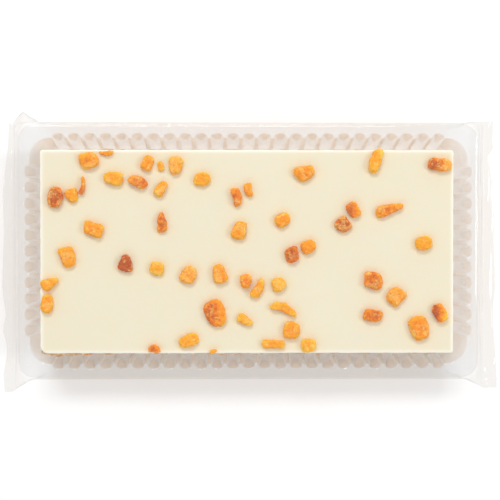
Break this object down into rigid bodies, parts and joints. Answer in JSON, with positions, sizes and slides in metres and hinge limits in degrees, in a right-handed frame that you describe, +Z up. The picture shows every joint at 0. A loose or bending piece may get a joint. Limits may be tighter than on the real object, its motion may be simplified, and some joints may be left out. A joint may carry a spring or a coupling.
{
  "type": "fudge slice",
  "caption": "Fudge slice: a rectangular slab of crumbly fudge base under cream icing with diced dried apricot, in a clear fluted tray sealed in clear wrap.",
  "frame": {"origin": "under the middle of the sealed wrap, on the surface that the pack rests on", "axes": "+X along the slab's long side, +Y towards the back long side, +Z up through the icing"},
  "size_m": [0.227, 0.128, 0.0262],
  "materials": {
    "fudge_crumb": "rough pressed golden crumb",
    "cream_icing": "smooth satin cream icing",
    "dried_apricot": "moist orange dried fruit with a dusting of flour and sugar",
    "clear_tray": "clear glossy formed sheet",
    "clear_film": "clear glossy thin film"
  },
  "bodies": {
    "root": {"base": "fudge_crumb", "icing": "cream_icing", "apricot_01": "dried_apricot", "apricot_02": "dried_apricot", "apricot_03": "dried_apricot", "apricot_04": "dried_apricot", "apricot_05": "dried_apricot", "apricot_06": "dried_apricot", "apricot_07": "dried_apricot", "apricot_08": "dried_apricot", "apricot_09": "dried_apricot", "apricot_10": "dried_apricot", "apricot_11": "dried_apricot", "apricot_12": "dried_apricot", "apricot_13": "dried_apricot", "apricot_14": "dried_apricot", "apricot_15": "dried_apricot", "apricot_16": "dried_apricot", "apricot_17": "dried_apricot", "apricot_18": "dried_apricot", "apricot_19": "dried_apricot", "apricot_20": "dried_apricot", "apricot_21": "dried_apricot", "apricot_22": "dried_apricot", "apricot_23": "dried_apricot", "apricot_24": "dried_apricot", "apricot_25": "dried_apricot", "apricot_26": "dried_apricot", "apricot_27": "dried_apricot", "apricot_28": "dried_apricot", "apricot_29": "dried_apricot", "apricot_30": "dried_apricot", "apricot_31": "dried_apricot", "apricot_32": "dried_apricot", "apricot_33": "dried_apricot", "apricot_34": "dried_apricot", "apricot_35": "dried_apricot", "apricot_36": "dried_apricot", "apricot_37": "dried_apricot", "apricot_38": "dried_apricot", "apricot_39": "dried_apricot", "apricot_40": "dried_apricot", "apricot_41": "dried_apricot", "apricot_42": "dried_apricot", "apricot_43": "dried_apricot", "apricot_44": "dried_apricot", "apricot_45": "dried_apricot", "apricot_46": "dried_apricot", "apricot_47": "dried_apricot", "apricot_48": "dried_apricot", "apricot_49": "dried_apricot", "apricot_50": "dried_apricot", "apricot_51": "dried_apricot", "tray": "clear_tray", "wrap": "clear_film"}
  },
  "joints": []
}
